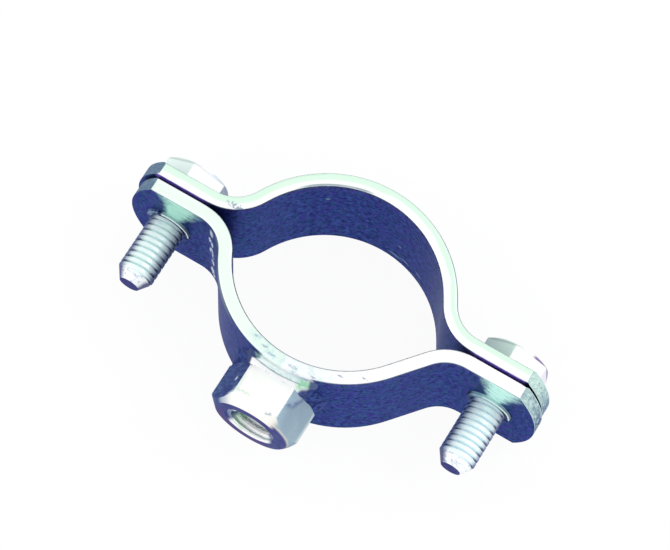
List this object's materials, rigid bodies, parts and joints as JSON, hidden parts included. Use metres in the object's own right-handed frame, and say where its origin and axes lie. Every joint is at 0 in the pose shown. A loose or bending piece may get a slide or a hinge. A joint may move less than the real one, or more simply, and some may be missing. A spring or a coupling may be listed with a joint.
{
  "type": "pipe clamp",
  "caption": "Zinc-plated steel pipe clamp: bent strip halves drawn together by hexagon screws through their rounded ears, with a threaded hexagon boss welded on for a hanger rod.",
  "frame": {"origin": "centre of the front half's pipe seat, halfway across the strip's width", "axes": "+Z along the pipe, +X along the ears, +Y along the screws towards their heads; the boss points to -Y"},
  "size_m": [0.0709, 0.0402, 0.02],
  "materials": {
    "strip": "zinc plated, satin",
    "screw": "zinc plated, bright",
    "boss": "zinc plated, bright",
    "weld": "zinc plated over rough weld"
  },
  "bodies": {
    "fixed_side": {"front_half": "strip", "boss_nut": "boss", "boss_weld": "weld"},
    "loose_side": {"back_half": "strip"},
    "left_screw_body": {"left_screw": "screw"},
    "right_screw_body": {"right_screw": "screw"}
  },
  "joints": [
    {"name": "clamp_travel", "type": "slide", "parent": "fixed_side", "child": "loose_side", "axis": [0, 1, 0], "range_m": [-0.00045, 0.0115]},
    {"name": "left_screw_turn", "type": "hinge", "parent": "loose_side", "child": "left_screw_body", "pos_m": [-0.028, 0, 0], "axis": [0, 1, 0], "range_deg": [-170, 4150]},
    {"name": "right_screw_turn", "type": "hinge", "parent": "loose_side", "child": "right_screw_body", "pos_m": [0.028, 0, 0], "axis": [0, 1, 0], "range_deg": [-170, 4150]}
  ],
  "couplings": [
    {"joint": "left_screw_turn", "follows": "clamp_travel", "rad_per_m": 6283.2},
    {"joint": "right_screw_turn", "follows": "clamp_travel", "rad_per_m": 6283.2}
  ]
}
